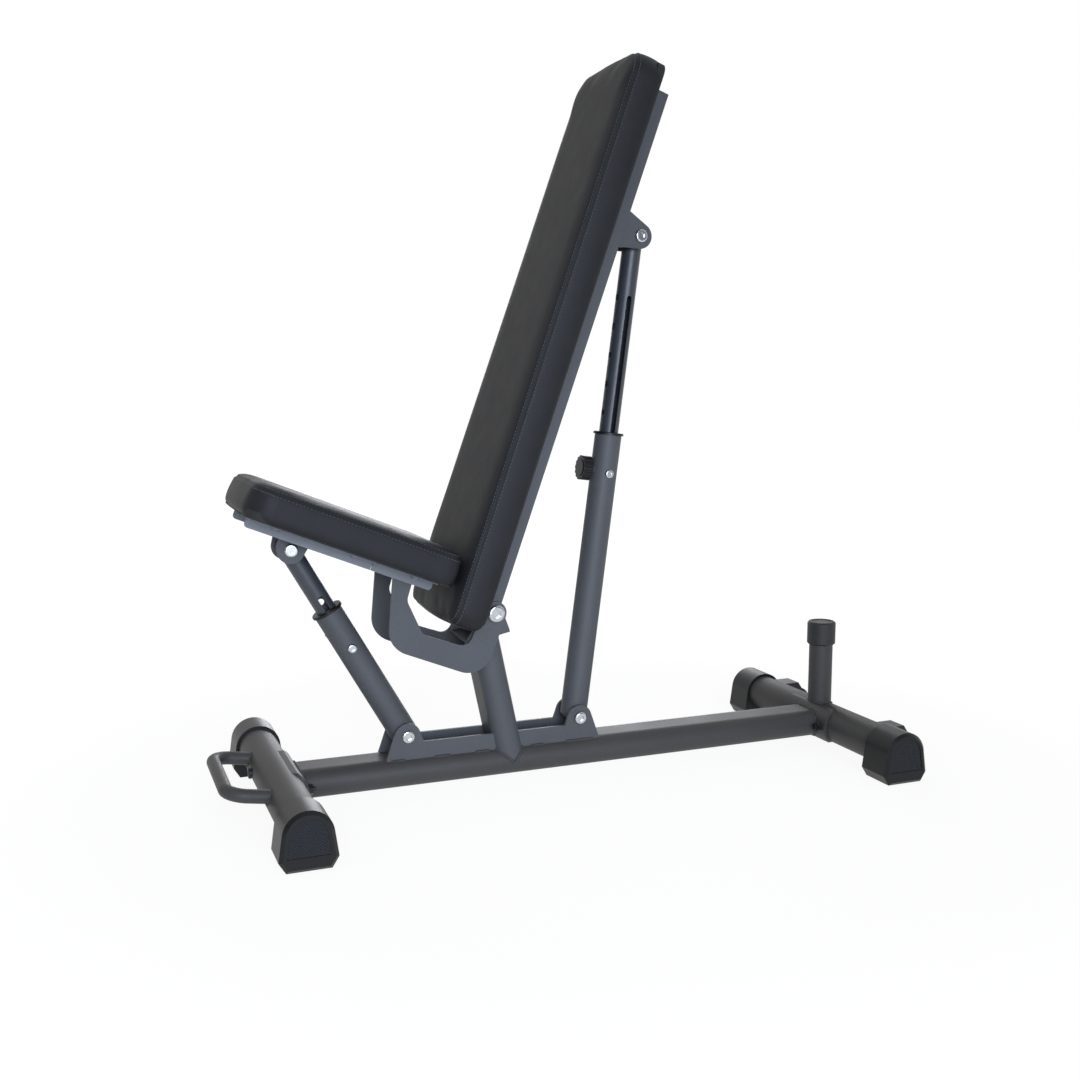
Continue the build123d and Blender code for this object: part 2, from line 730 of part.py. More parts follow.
hook_arm_rear = hook_arm_front - hook_arm_width
hook_knee = (hook_arm_front - hook_setback, -hook_bottom)
hook_heel_point = (-hook_heel, -hook_bottom)
hook_inside = [
    (hook_eye_r + hook_root, hook_band - hook_bottom + hook_slope),
    (hook_arm_rear - hook_gusset - hook_root, hook_band - hook_bottom - hook_slope),
    (hook_arm_rear - hook_crook, hook_band - hook_bottom - hook_slope + hook_gusset),
]
with BuildPart() as hook_plate:
    with BuildSketch(seat_plane(hook_y)) as hook_outline:
        with BuildLine():
            Polyline((hook_arm_rear, seat_under), (hook_arm_front, seat_under), hook_knee, hook_heel_point,
                     (-hook_eye_r, 0))
            ThreePointArc((-hook_eye_r, 0), (0, hook_eye_r), (hook_eye_r, 0))
            Polyline((hook_eye_r, 0), *hook_inside, (hook_arm_rear, seat_under))
        make_face()
        for corner in (hook_knee, hook_heel_point):
            fillet(hook_outline.vertices().sort_by_distance(Vector(*corner))[0], hook_outer_r)
        for corner in hook_inside:
            fillet(hook_outline.vertices().sort_by_distance(Vector(*corner))[0], hook_inner_r)
        Circle(pivot_bolt_d / 2 + running_gap, mode=Mode.SUBTRACT)
    extrude(amount=hook_thickness)
save_pair(hook_plate, "seat_hook_plate", right_first=True)

with BuildPart() as seat_rear_bridge:
    with BuildSketch(seat_pad_plane):
        with Locations((hook_arm_front - hook_arm_width / 2 - seat_pad_mid, 0)):
            Rectangle(hook_arm_width, 2 * hook_y)
    extrude(amount=-seat_bridge)
save(seat_rear_bridge, "seat_rear_bridge")

seat_ear_drop = seat_under - seat_bridge + seat_pivot_below
with BuildPart() as seat_strut_bracket:
    with BuildSketch(seat_pad_plane):
        with Locations((seat_pivot_ahead - seat_pad_mid, 0)):
            Rectangle(seat_bridge_length, 2 * seat_rail_y)
    extrude(amount=-seat_bridge)
    for y in (ear_y, -ear_outer_y):
        with BuildSketch(Plane(seat_strut_top + Vector(0, y, 0), x_dir=-seat_side.x_dir, z_dir=(0, 1, 0))):
            add(ear_face(ear_r, seat_ear_foot, seat_ear_drop))
            Circle(strut_bolt_d / 2, mode=Mode.SUBTRACT)
        extrude(amount=plate_thickness)
save(seat_strut_bracket, "seat_strut_bracket")

with BuildPart() as seat_strut_bolt:
    add(bolt(seat_strut_top - Vector(0, ear_outer_y, 0), strut_bolt_d,
             2 * ear_outer_y + strut_bolt_d * nut_height_ratio, (0, 1, 0), 2 * ear_outer_y))
save(seat_strut_bolt, "seat_strut_bolt")

# Back: pad and board, two long rails, bridges and the strut bracket
back_pad_mid = back_pad_length / 2 - back_pad_tail
back_side = back_plane()
back_pad_plane = Plane(back_side.from_local_coords((back_pad_mid, back_under, 0)), x_dir=back_side.x_dir,
                       z_dir=back_side.y_dir)
back_flange_y = back_rail_y + back_rail_thickness + back_flange / 2
back_screw_spots = [(along - back_pad_mid, y)
                    for along in (back_flange_start + back_screw_inset, back_rail_top / 2,
                                  back_rail_top - back_screw_inset)
                    for y in (-back_flange_y, back_flange_y)]
make_pad("back", back_pad_plane, back_pad_length, back_pad_width, back_pad_top_width, back_screw_spots)
make_screws("back", back_pad_plane, back_screw_spots, back_flange_wall)

with BuildPart() as back_rail:
    with BuildSketch(back_plane(-back_rail_y)) as rail_outline:
        with Locations((-back_rail_tail, back_under)):
            Rectangle(back_rail_top + back_rail_tail, back_rail_depth, align=(Align.MIN, Align.MAX))
        front_corner = Vector(-back_rail_tail, back_under)
        fillet(rail_outline.vertices().sort_by_distance(front_corner)[0], back_rail_corner)
        Circle(back_eye_r)
        Circle(pivot_bolt_d / 2 + running_gap, mode=Mode.SUBTRACT)
    extrude(amount=back_rail_thickness)
    with BuildSketch(back_plane(-back_rail_y - back_rail_thickness)):
        with Locations((back_flange_start, back_under)):
            Rectangle(back_rail_top - back_flange_start, back_flange_wall, align=(Align.MIN, Align.MAX))
    extrude(amount=back_flange)
    with BuildSketch(back_pad_plane):
        with Locations(*back_screw_spots):
            Circle(pad_screw_d / 2)
    extrude(amount=-back_rail_depth, mode=Mode.SUBTRACT)
save_pair(back_rail, "back_rail")

with BuildPart() as back_bridges:
    with BuildSketch(back_pad_plane):
        with Locations((lower_bridge_at - back_pad_mid, 0), (upper_bridge_at - back_pad_mid, 0)):
            Rectangle(rail_bridge_length, 2 * back_rail_y)
    extrude(amount=-back_bridge)
save(back_bridges, "back_bridges")

back_rail_rear = back_rail_depth - back_under
back_ear_drop = back_pivot_behind - back_rail_rear
with BuildPart() as back_strut_bracket:
    with BuildSketch(back_pad_plane.offset(-back_rail_depth)):
        with Locations((back_pivot_along - back_pad_mid, 0)):
            Rectangle(back_bridge_length, 2 * back_rail_y)
    extrude(amount=back_bridge)
    for y in (-ear_y, ear_outer_y):
        with BuildSketch(Plane(back_strut_top + Vector(0, y, 0), x_dir=-back_side.x_dir, z_dir=(0, -1, 0))):
            add(ear_face(back_ear_r, back_ear_foot, back_ear_drop))
            Circle(strut_bolt_d / 2, mode=Mode.SUBTRACT)
        extrude(amount=plate_thickness)
save(back_strut_bracket, "back_strut_bracket")

with BuildPart() as back_strut_bolts:
    for y, direction in ((-ear_outer_y, 1), (ear_outer_y, -1)):
        add(bolt(back_strut_top + Vector(0, y, 0), strut_bolt_d, plate_thickness, (0, direction, 0)))
save(back_strut_bolts, "back_strut_bolts")


# Telescopic struts
def make_strut(name, base, top, level, sleeve_length, overlap, stop_below, pin_below, pin_across, settings,
               top_eye_bore):
    """One strut: sleeve with a lower eye, collar, stop screw, slotted inner tube, lock pin and knob.
    The slot and the pin holes follow from the strut's length as shown and with its cushion level."""
    shown_length = (top - base).length
    stroke = shown_length - (level - base).length
    axis = Plane(base, x_dir=(0, 1, 0), z_dir=top - base)
    eye_half = ear_y - eye_gap
    sleeve_r = sleeve_d / 2
    bore_r = sleeve_r - sleeve_wall
    inner_r = inner_d / 2
    stop_z = sleeve_length - stop_below
    pin_z = sleeve_length - pin_below
    pin_dir = axis.x_dir if pin_across else axis.y_dir
    pin_axis = Plane(axis.from_local_coords((0, 0, pin_z)), x_dir=axis.z_dir, z_dir=pin_dir)
    stop_axis = Plane(axis.from_local_coords((0, 0, stop_z)), x_dir=axis.z_dir, z_dir=-axis.x_dir)
    across = Plane(base - axis.x_dir * eye_half, x_dir=axis.z_dir, z_dir=axis.x_dir)

    with BuildPart() as sleeve:
        with BuildSketch(axis):
            Circle(sleeve_r)
        extrude(amount=sleeve_length)
        with BuildSketch(pin_axis):
            Circle(barrel_d / 2)
        extrude(amount=sleeve_r + barrel_length)
        with BuildSketch(axis):
            Circle(bore_r)
        extrude(amount=sleeve_length, mode=Mode.SUBTRACT)
        with BuildSketch(across):
            Circle(eye_d / 2)
        extrude(amount=2 * eye_half)
        with BuildSketch(across):
            Circle(strut_bolt_d / 2 + running_gap)
        extrude(amount=2 * eye_half, mode=Mode.SUBTRACT)
        with BuildSketch(pin_axis):
            Circle(pin_d / 2 + pin_gap)
        extrude(amount=sleeve_d, mode=Mode.SUBTRACT)
        with BuildSketch(stop_axis):
            Circle(stop_screw_d / 2)
        extrude(amount=sleeve_d, mode=Mode.SUBTRACT)
    save(sleeve, name + "_strut_sleeve")

    with BuildPart() as collar:
        with BuildSketch(axis.offset(sleeve_length)):
            Circle(collar_d / 2)
        lip = extrude(amount=collar_lip)
        fillet(lip.edges().filter_by(GeomType.CIRCLE).sort_by(Axis(base, axis.z_dir))[-1], collar_lip * 0.4)
        with BuildSketch(axis.offset(sleeve_length)):
            Circle(bore_r)
        extrude(amount=-collar_depth)
        with BuildSketch(axis.offset(sleeve_length - collar_depth)):
            Circle(inner_r + slide_gap)
        extrude(amount=collar_depth + collar_lip, mode=Mode.SUBTRACT)
    save(collar, name + "_strut_collar")

    with BuildPart() as stop_screw:
        add(bolt(stop_axis.from_local_coords((0, 0, sleeve_r)), stop_screw_d,
                 sleeve_r - inner_r + inner_wall + 1, axis.x_dir))
    save(stop_screw, name + "_strut_stop_screw")

    slot_near = shown_length - stroke - stop_z - slot_width
    slot_far = shown_length - stop_z + slot_width
    hole_first = shown_length - pin_z
    top_axis = Plane(top, x_dir=axis.x_dir, z_dir=-axis.z_dir)
    top_across = Plane(top - axis.x_dir * eye_half, x_dir=-axis.z_dir, z_dir=axis.x_dir)
    with BuildPart() as inner:
        with BuildSketch(top_axis):
            Circle(inner_r)
        extrude(amount=shown_length - sleeve_length + overlap)
        with BuildSketch(top_axis):
            Circle(inner_r - inner_wall)
        extrude(amount=shown_length - sleeve_length + overlap, mode=Mode.SUBTRACT)
        with BuildSketch(top_across):
            Circle(eye_d / 2)
        extrude(amount=2 * eye_half)
        with BuildSketch(top_across):
            Circle(top_eye_bore / 2)
        extrude(amount=2 * eye_half, mode=Mode.SUBTRACT)
        with BuildSketch(Plane(top, x_dir=-axis.z_dir, z_dir=-axis.x_dir)):
            with Locations(((slot_near + slot_far) / 2, 0)):
                SlotOverall(slot_far - slot_near, slot_width)
        extrude(amount=inner_d, mode=Mode.SUBTRACT)
        with BuildSketch(Plane(top, x_dir=-axis.z_dir, z_dir=pin_dir)):
            with Locations(*[(hole_first - stroke * i / (settings - 1), 0) for i in range(settings)]):
                Circle(pin_d / 2 + pin_hole_slack)
        extrude(amount=inner_d, mode=Mode.SUBTRACT)
    save(inner, name + "_strut_inner_tube")

    knob_near = sleeve_r + knob_lift
    with BuildPart() as lock_pin:
        with BuildSketch(pin_axis.offset(inner_r + pin_clear)):
            Circle(pin_d / 2)
        extrude(amount=knob_near + knob_length - knob_crown - inner_r - pin_clear)
        rims = lock_pin.edges().filter_by(GeomType.CIRCLE)
        chamfer(rims.sort_by_distance(axis.from_local_coords((0, 0, pin_z)))[0], pin_bevel)
    save(lock_pin, name + "_strut_lock_pin")

    with BuildPart() as knob:
        with BuildSketch(pin_axis.offset(knob_near)):
            Circle(knob_d / 2)
            with PolarLocations(knob_d / 2 + knob_flute_r * flute_offset, knob_flutes):
                Circle(knob_flute_r, mode=Mode.SUBTRACT)
        extrude(amount=knob_length)
        with BuildSketch(pin_axis.offset(knob_near + knob_length)):
            Circle(knob_d / 2 - knob_flute_r - knob_shoulder)
        extrude(amount=knob_dome, taper=45)
        with BuildSketch(pin_axis.offset(knob_near)):
            Circle(barrel_d / 2 + knob_bore_gap)
        extrude(amount=knob_length - knob_crown, mode=Mode.SUBTRACT)
    save(knob, name + "_strut_knob")


make_strut("seat", seat_strut_base, seat_strut_top, seat_strut_level, seat_sleeve_length, seat_overlap,
           seat_stop_below, seat_pin_below, True, seat_settings, strut_bolt_d + 2 * open_eye_slack)
make_strut("back", back_strut_base, back_strut_top, back_strut_level, back_sleeve_length, back_overlap,
           back_stop_below, back_pin_below, False, back_settings, strut_bolt_d)
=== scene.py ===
"""Looks of an adjustable weight bench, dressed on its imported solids.
Metres, +X to the rear, +Y to the sitter's right, +Z up."""
import json
import math

import bpy
import numpy as np
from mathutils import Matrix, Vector
from mathutils.bvhtree import BVHTree


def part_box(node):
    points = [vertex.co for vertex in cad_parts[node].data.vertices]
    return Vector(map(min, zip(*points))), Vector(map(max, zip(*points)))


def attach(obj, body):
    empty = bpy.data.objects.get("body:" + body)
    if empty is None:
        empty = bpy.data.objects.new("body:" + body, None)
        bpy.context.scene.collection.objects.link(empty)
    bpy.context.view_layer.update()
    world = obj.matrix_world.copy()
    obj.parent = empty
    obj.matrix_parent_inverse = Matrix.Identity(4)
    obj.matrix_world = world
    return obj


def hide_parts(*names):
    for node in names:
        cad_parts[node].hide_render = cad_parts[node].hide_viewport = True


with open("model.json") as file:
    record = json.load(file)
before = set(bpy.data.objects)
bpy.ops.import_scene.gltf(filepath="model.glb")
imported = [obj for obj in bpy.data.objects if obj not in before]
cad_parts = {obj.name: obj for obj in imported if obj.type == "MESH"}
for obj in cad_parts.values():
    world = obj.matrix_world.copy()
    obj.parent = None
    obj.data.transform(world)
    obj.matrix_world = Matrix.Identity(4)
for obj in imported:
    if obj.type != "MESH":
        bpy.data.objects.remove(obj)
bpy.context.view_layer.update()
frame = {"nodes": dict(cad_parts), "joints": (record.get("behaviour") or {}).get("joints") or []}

# Base frame: welded steel tube and plate.
# Everything is sprayed with fine-textured powder in one of three greys and baked,
# which leaves a satin skin with a slight orange peel.


def linear(code):
    """sRGB hex colour to linear: v / 12.92 below 0.04045, else ((v + 0.055) / 1.055) ** 2.4."""
    v = np.array([int(code[i:i + 2], 16) / 255 for i in (1, 3, 5)])
    v = np.where(v <= 0.04045, v / 12.92, ((v + 0.055) / 1.055) ** 2.4)
    return (*v.tolist(), 1.0)


def feed(tree, node, inputs):
    """Give each named input of a node a value or the socket that feeds it."""
    for key, value in dict(inputs).items():
        if isinstance(value, bpy.types.NodeSocket):
            tree.links.new(value, node.inputs[key])
        else:
            node.inputs[key].default_value = value


def add_node(tree, kind, inputs=(), **settings):
    """Add one node with its properties and its inputs."""
    made = tree.nodes.new(kind)
    for key, value in settings.items():
        setattr(made, key, value)
    feed(tree, made, inputs)
    return made


def new_finish(name):
    """Empty material with its node tree, its surface shader and Object coordinates in metres."""
    finish = bpy.data.materials.new(name)
    finish.use_nodes = True
    tree = finish.node_tree
    tree.nodes.clear()
    shader = add_node(tree, "ShaderNodeBsdfPrincipled")
    add_node(tree, "ShaderNodeOutputMaterial", {"Surface": shader.outputs["BSDF"]})
    coords = add_node(tree, "ShaderNodeTexCoord").outputs["Object"]
    return finish, tree, shader, coords


def noise(tree, coords, scale, detail=2.0, roughness=0.5, distortion=0.0):
    """Socket with fractal noise of so many cells a metre."""
    made = add_node(tree, "ShaderNodeTexNoise", {"Vector": coords, "Scale": scale, "Detail": detail,
                                                 "Roughness": roughness, "Distortion": distortion})
    return made.outputs["Fac"]


def blend(tree, factor, deep, pale):
    """Socket with a mix of two hex colours."""
    made = add_node(tree, "ShaderNodeMix", {"Factor": factor, "A": linear(deep), "B": linear(pale)},
                    data_type="RGBA")
    return made.outputs["Result"]


def remap(tree, value, low, high, start=0.0, stop=1.0, ease="LINEAR"):
    """Socket that runs from low to high while the value runs from start to stop."""
    made = add_node(tree, "ShaderNodeMapRange", {"Value": value, "From Min": start, "From Max": stop,
                                                 "To Min": low, "To Max": high}, interpolation_type=ease)
    return made.outputs["Result"]


def bump(tree, height, strength, distance):
    """Bump node whose Normal output follows a height socket."""
    return add_node(tree, "ShaderNodeBump", {"Height": height, "Strength": strength, "Distance": distance})


def coat(nodes, finish):
    """Give CAD nodes one finish."""
    for name in nodes:
        slots = frame["nodes"][name].data.materials
        slots.clear()
        slots.append(finish)


# Polyester powder coat: a fine even grit about 0.6 mm across, drawn at 1.6 mm so that it shows.
# The base is charcoal, the parts above it anthracite, and the seat rails with their screws a paler grey.
powders = []
for name, deep, pale in (("charcoal_powder_coat", "#3c3b3a", "#474644"),
                         ("anthracite_powder_coat", "#484a4c", "#545659"),
                         ("graphite_powder_coat", "#75787c", "#83878c")):
    powder, tree, shader, coords = new_finish(name)
    grit = noise(tree, coords, 620.0, roughness=0.6)
    cloud = noise(tree, coords, 9.0, detail=3.0)
    speck = remap(tree, grit, 0.9, 1.12, start=0.35, stop=0.7)
    speckled = add_node(tree, "ShaderNodeVectorMath", {0: blend(tree, cloud, deep, pale), "Scale": speck},
                        operation="SCALE")
    feed(tree, shader, {"Base Color": speckled.outputs["Vector"],
                        "Roughness": remap(tree, cloud, 0.46, 0.6),
                        "Normal": bump(tree, grit, 0.22, 0.0006).outputs["Normal"],
                        "IOR": 1.5, "Specular IOR Level": 0.3})
    powders.append(powder)
base_coat, powder_coat, rail_coat = powders

coat(["main_beam", "front_cross_tube", "rear_cross_tube", "front_saddle_plate", "rear_saddle_plate",
      "carry_handle", "stop_post"], base_coat)
coat(["upright_post", "post_head", "front_strut_plate_left", "front_strut_plate_right",
      "rear_strut_plate_left", "rear_strut_plate_right",
      "seat_hook_plate_left", "seat_hook_plate_right", "seat_rear_bridge", "seat_strut_bracket",
      "back_rail_left", "back_rail_right", "back_bridges", "back_strut_bracket",
      "seat_strut_sleeve", "back_strut_sleeve"], powder_coat)
coat(["seat_front_rail_left", "seat_front_rail_right", "seat_rear_rail_left", "seat_rear_rail_right",
      "seat_pad_screws"], rail_coat)

# Weld beads: the base is MIG welded before it is coated.
# Each bead is a small rippled roll in the corner between two pieces, under the same powder.
tube_low, tube_high = np.array(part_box("front_cross_tube"))
front_x, _, tube_z = (tube_low + tube_high) / 2
tube_r = 0.038
tube_spacing = 1.176
rear_x = front_x + tube_spacing
saddle_r = 0.043
beam_width, beam_depth = 0.100, 0.055
beam_r = beam_depth / 2
beam_drop = 0.0025
beam_z = tube_z - beam_drop
beam_top = 0.083
post_width, post_depth = 0.100, 0.055
post_foot_x = front_x + 0.442
post_lean = math.radians(11.8)
stop_post_r = 0.025
stop_seat_r = 0.0382
handle_half_span = 0.117
handle_r = 0.0125
handle_z = 0.0695
strut_weld_y, strut_weld_z = 0.0342, 0.0806
strut_welds = ((0.206, 0.236), (0.290, 0.325), (0.372, 0.404), (0.486, 0.515), (0.560, 0.622))
post_bead, beam_bead, stop_bead, handle_bead, strut_bead = 0.0032, 0.0028, 0.003, 0.0022, 0.0028
ripple_pitch = 0.0035
ripple_share = 0.14
bead_taper = 0.004
bead_sides = 8


def mesh_piece(name, points, faces, finish, smooth=True):
    """Mesh object at the origin from point and face arrays."""
    mesh = bpy.data.meshes.new(name)
    mesh.from_pydata(points.tolist(), [], faces)
    mesh.polygons.foreach_set("use_smooth", np.full(len(mesh.polygons), smooth))
    mesh.update()
    piece = bpy.data.objects.new(name, mesh)
    bpy.context.scene.collection.objects.link(piece)
    piece.data.materials.append(finish)
    return piece


def grid_faces(rows, columns, wrap_rows=False):
    """Quads of a grid that closes across its columns, and across its rows when asked."""
    i = np.arange(rows if wrap_rows else rows - 1)[:, None]
    j = np.arange(columns)[None, :]
    k = (i + 1) % rows
    n = (j + 1) % columns
    quads = np.stack([i * columns + j, i * columns + n, k * columns + n, k * columns + j], axis=-1)
    return quads.reshape(-1, 4)


def bead(path, radius, closed=True):
    """Weld bead along a path: at arc length s its round section has radius r (1 + share sin(2 pi s / pitch)).
    Its frame at each point is the tangent t, n = t x up normalised, and b = n x t."""
    steps = np.roll(path, -1, 0) - np.roll(path, 1, 0) if closed else np.gradient(path, axis=0)
    t = steps / np.linalg.norm(steps, axis=1, keepdims=True)
    n = np.cross(t, (0.02, 0.05, 1.0))
    n /= np.linalg.norm(n, axis=1, keepdims=True)
    b = np.cross(n, t)
    s = np.concatenate([[0], np.cumsum(np.linalg.norm(np.diff(path, axis=0), axis=1))])
    swell = radius * (1 + ripple_share * np.sin(2 * math.pi * s / ripple_pitch))
    if not closed:
        swell *= np.sqrt(np.clip(np.minimum(s, s[-1] - s) / bead_taper, 0.02, 1))
    a = np.linspace(0, 2 * math.pi, bead_sides, endpoint=False)
    ring = np.cos(a)[None, :, None] * n[:, None] + np.sin(a)[None, :, None] * b[:, None]
    points = (path[:, None] + swell[:, None, None] * ring).reshape(-1, 3)
    return points, grid_faces(len(path), bead_sides, closed)


def slot_outline(width, depth, count):
    """Flat-oval outline: two half circles of diameter depth joined by straight sides, evenly spaced points."""
    r = depth / 2
    run = width - depth
    arc = math.pi * r
    s = np.linspace(0, 2 * run + 2 * math.pi * r, count, endpoint=False)
    spans = [s < run, (s >= run) & (s < run + arc), (s >= run + arc) & (s < 2 * run + arc)]
    across = np.piecewise(s, spans, [lambda v: v - run / 2,
                                     lambda v: run / 2 + r * np.sin((v - run) / r),
                                     lambda v: run / 2 - (v - run - arc),
                                     lambda v: -run / 2 - r * np.sin((v - 2 * run - arc) / r)])
    along = np.piecewise(s, spans, [-r, lambda v: -r * np.cos((v - run) / r),
                                    r, lambda v: r * np.cos((v - 2 * run - arc) / r)])
    return across, along


def join(parts):
    """Stack point and face arrays of several grids into one pair."""
    start = np.cumsum([0] + [len(p) for p, f in parts])
    return np.vstack([p for p, f in parts]), np.vstack([f + k for (p, f), k in zip(parts, start)]).tolist()


beads = []
oval_points, round_points, line_points = 420, 260, 60
y, x = slot_outline(post_width, post_depth, oval_points)
round_in = np.clip(np.abs(y) - beam_width / 2 + beam_r, 0, beam_r)
z = beam_z + np.sqrt(np.clip(beam_r ** 2 - round_in ** 2, 0, None))
x = post_foot_x + x / math.cos(post_lean) - math.tan(post_lean) * (z - beam_top)
beads.append(bead(np.stack([x, y, z], 1), post_bead))
y, h = slot_outline(beam_width, beam_depth, oval_points)
for side, x0 in ((1, front_x), (-1, rear_x)):
    x = x0 + side * np.sqrt(saddle_r ** 2 - (h + beam_z - tube_z) ** 2)
    beads.append(bead(np.stack([x, y, beam_z + h], 1), beam_bead))
a = np.linspace(0, 2 * math.pi, round_points, endpoint=False)
x = stop_post_r * np.cos(a)
z = tube_z + np.sqrt(stop_seat_r ** 2 - x ** 2)
beads.append(bead(np.stack([rear_x + x, stop_post_r * np.sin(a), z], 1), stop_bead))
h = handle_z + handle_r * np.sin(a)
x = front_x - np.sqrt(tube_r ** 2 - (h - tube_z) ** 2)
for side in (-1, 1):
    y = side * handle_half_span + handle_r * np.cos(a)
    beads.append(bead(np.stack([x, y, h], 1), handle_bead))
for start, end in strut_welds:
    run = np.linspace(front_x + start, front_x + end, line_points)
    for side in (-1, 1):
        y, z = np.full(line_points, side * strut_weld_y), np.full(line_points, strut_weld_z)
        line = np.stack([run, y, z], 1)
        beads.append(bead(line, strut_bead, closed=False))
points, faces = join(beads)
base_welds = mesh_piece("base_weld_beads", points, faces, base_coat)
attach(base_welds, "base")

# Foot caps: injection-moulded polypropylene shoes pushed over the tube ends.
# Plain skirts with a spark-eroded grain, and a sunk end panel of small raised diamonds.
plastics = []
# The raised diamonds are moulded in the same black polypropylene as the cap; their paler grey base colour is
# painted highlight.
for name, deep, pale, gloss in (("moulded_polypropylene", "#0e0f10", "#18191b", 0.42),
                                ("polypropylene_painted_highlight", "#24272c", "#383d44", 0.26)):
    plastic, tree, shader, coords = new_finish(name)
    grain = noise(tree, coords, 900.0, detail=1.0)
    feed(tree, shader, {"Base Color": blend(tree, grain, deep, pale),
                        "Normal": bump(tree, grain, 0.2, 0.0005).outputs["Normal"],
                        "Roughness": gloss, "IOR": 1.49, "Specular IOR Level": 0.3})
    plastics.append(plastic)
moulded_cap, stud_painted_highlight = plastics
foot_caps = ["front_foot_cap_left", "front_foot_cap_right", "rear_foot_cap_left", "rear_foot_cap_right"]
coat(foot_caps + ["seat_strut_collar", "back_strut_collar", "seat_strut_knob", "back_strut_knob"], moulded_cap)

stud_half_length, stud_half_width = 0.0025, 0.0019
stud_pitch, stud_row = 0.006, 0.0023
stud_first_row = 0.004
stud_top_share = 0.55
stud_root, stud_height = -0.0002, 0.0009
panel_least, panel_most = 0.0010, 0.0020
ray_start = 0.02


def stud_field(cap):
    """Flat-topped diamonds 5.0 x 3.8 mm on the cap's sunk panel, in rows 2.3 mm apart that step by half the
    6 mm pitch. A diamond stands where rays at its middle and its four points all meet the panel, which lies
    1 to 2 mm deep."""
    node = frame["nodes"][cap]
    corners = [node.matrix_world @ v.co for v in node.data.vertices]
    surface = BVHTree.FromPolygons(corners, [p.vertices[:] for p in node.data.polygons])
    low, high = np.array(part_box(cap))
    side = math.copysign(1.0, low[1] + high[1])
    face = max(abs(low[1]), abs(high[1]))
    inwards = Vector((0, -side, 0))
    diamond = np.array([(stud_half_length, 0.0), (0.0, stud_half_width),
                        (-stud_half_length, 0.0), (0.0, -stud_half_width)])
    points = []
    for row, z in enumerate(np.arange(low[2] + stud_first_row, high[2], stud_row)):
        for x in np.arange(low[0] + stud_pitch / 2 * (row % 2), high[0], stud_pitch):
            rays = np.vstack([[(0.0, 0.0)], diamond]) + (x, z)
            hits = [surface.ray_cast(Vector((u, side * (face + ray_start), v)), inwards)[0] for u, v in rays]
            depths = [face - abs(h.y) if h is not None else 0.0 for h in hits]
            if min(depths) > panel_least and max(depths) < panel_most:
                for scale, lift in ((1.0, stud_root), (stud_top_share, stud_height)):
                    rim = diamond * scale + (x, z)
                    level = np.full(4, side * (face - depths[0] + lift))
                    points.append(np.stack([rim[:, 0], level, rim[:, 1]], 1))
    points = np.vstack(points)
    first = np.arange(0, len(points), 8)[:, None]
    walls = []
    for i in range(4):
        n = (i + 1) % 4
        walls.append(np.concatenate([first + i, first + n, first + 4 + n, first + 4 + i], 1))
    faces = np.vstack(walls + [first + np.array([4, 5, 6, 7])])
    return points, faces if side < 0 else faces[:, ::-1]


points, faces = join([stud_field(cap) for cap in foot_caps])
# The studs take the paler polypropylene, whose grey is painted highlight on black plastic.
cap_studs = mesh_piece("foot_cap_studs", points, faces, stud_painted_highlight, smooth=False)
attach(cap_studs, "base")

# Rubber: the stop post's push-on cap and the solid transport wheels.
# Moulded black rubber, matte with a faint bloom that greys it in patches.
black_rubber, tree, shader, coords = new_finish("moulded_black_rubber")
bloom = noise(tree, coords, 60.0, detail=4.0)
pores = noise(tree, coords, 700.0)
feed(tree, shader, {"Base Color": blend(tree, bloom, "#161718", "#26272a"),
                    "Normal": bump(tree, pores, 0.15, 0.0005).outputs["Normal"],
                    "Roughness": 0.6, "IOR": 1.52})
coat(["stop_post_cap", "transport_wheel_left", "transport_wheel_right"], black_rubber)

# Bright fasteners: the pivot and strut bolts, stop screws and the lock pins.
# Zinc-plated steel, bright with slightly cloudy patches.
zinc, tree, shader, coords = new_finish("bright_zinc_plate")
haze = noise(tree, coords, 260.0, detail=3.0)
feed(tree, shader, {"Base Color": blend(tree, haze, "#a9adb2", "#d3d6d9"),
                    "Roughness": remap(tree, haze, 0.16, 0.3), "Metallic": 1.0})
coat(["main_pivot_bolt", "strut_base_bolts", "seat_strut_bolt", "back_strut_bolts", "seat_strut_stop_screw",
      "back_strut_stop_screw", "seat_strut_lock_pin", "back_strut_lock_pin"], zinc)

# Dark metal: wheel brackets, saddle bolts, wheel axles and the back pad's screws.
# Black oxide on steel, a thin matte skin that is slightly uneven in tone.
black_oxide, tree, shader, coords = new_finish("black_oxide_steel")
wear = noise(tree, coords, 320.0, detail=3.0)
feed(tree, shader, {"Base Color": blend(tree, wear, "#1c1d1f", "#34363a"),
                    "Metallic": 0.6, "Roughness": 0.42})
coat(["wheel_bracket_left", "wheel_bracket_right", "saddle_bolts", "wheel_axles", "back_pad_screws"],
     black_oxide)

# Inner strut tubes: drawn tube with a smooth dark paint, so that it slides in the collar.
# Glossier than the powder coat, with faint rubbed patches.
slide_paint, tree, shader, coords = new_finish("smooth_dark_paint")
rub = noise(tree, coords, 40.0, detail=4.0)
feed(tree, shader, {"Base Color": blend(tree, rub, "#2e3135", "#3b3f45"),
                    "Roughness": remap(tree, rub, 0.34, 0.48), "IOR": 1.5})
coat(["seat_strut_inner_tube", "back_strut_inner_tube"], slide_paint)

# Pad boards: plywood panels under the foam, closed with black non-woven cloth.
# Spun-bonded fibres press to a dull felt, drawn at 3 mm so that it shows.
backing, tree, shader, coords = new_finish("black_nonwoven_backing")
fibres = noise(tree, coords, 330.0, detail=4.0, distortion=1.5)
feed(tree, shader, {"Base Color": blend(tree, fibres, "#161616", "#2b2a2a"),
                    "Normal": bump(tree, fibres, 0.4, 0.0008).outputs["Normal"], "Roughness": 0.85})
coat(["seat_board", "back_board"], backing)

# Pads: foam on a board under black PVC leathercloth, boxed with a side band.
# The cover is pulled tight over the foam and stapled under the board, and its face is joined to the band
# by a turned seam with a row of stitches along each side of it.
vinyl, tree, shader, coords = new_finish("black_pvc_leathercloth")
